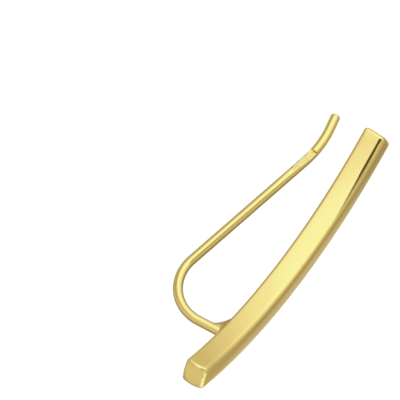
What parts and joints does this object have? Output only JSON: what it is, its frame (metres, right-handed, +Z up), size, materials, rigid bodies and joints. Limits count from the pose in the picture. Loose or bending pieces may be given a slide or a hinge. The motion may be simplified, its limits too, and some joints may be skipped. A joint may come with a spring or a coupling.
{
  "type": "ear climber",
  "caption": "Curved square-section bar in polished gold plate with a round wire ear hook soldered square to its back, lying on its convex side.",
  "frame": {"origin": "middle of the footprint, on the surface that the ear climber lies on", "axes": "+X along the bar, towards its upper end as worn; +Y from the bar's front to the hook; +Z up as it lies, towards the bar's concave side"},
  "size_m": [0.0278, 0.0082, 0.0049],
  "materials": {
    "gold": "polished gold plate"
  },
  "bodies": {
    "root": {"ear_climber": "gold"}
  },
  "joints": []
}
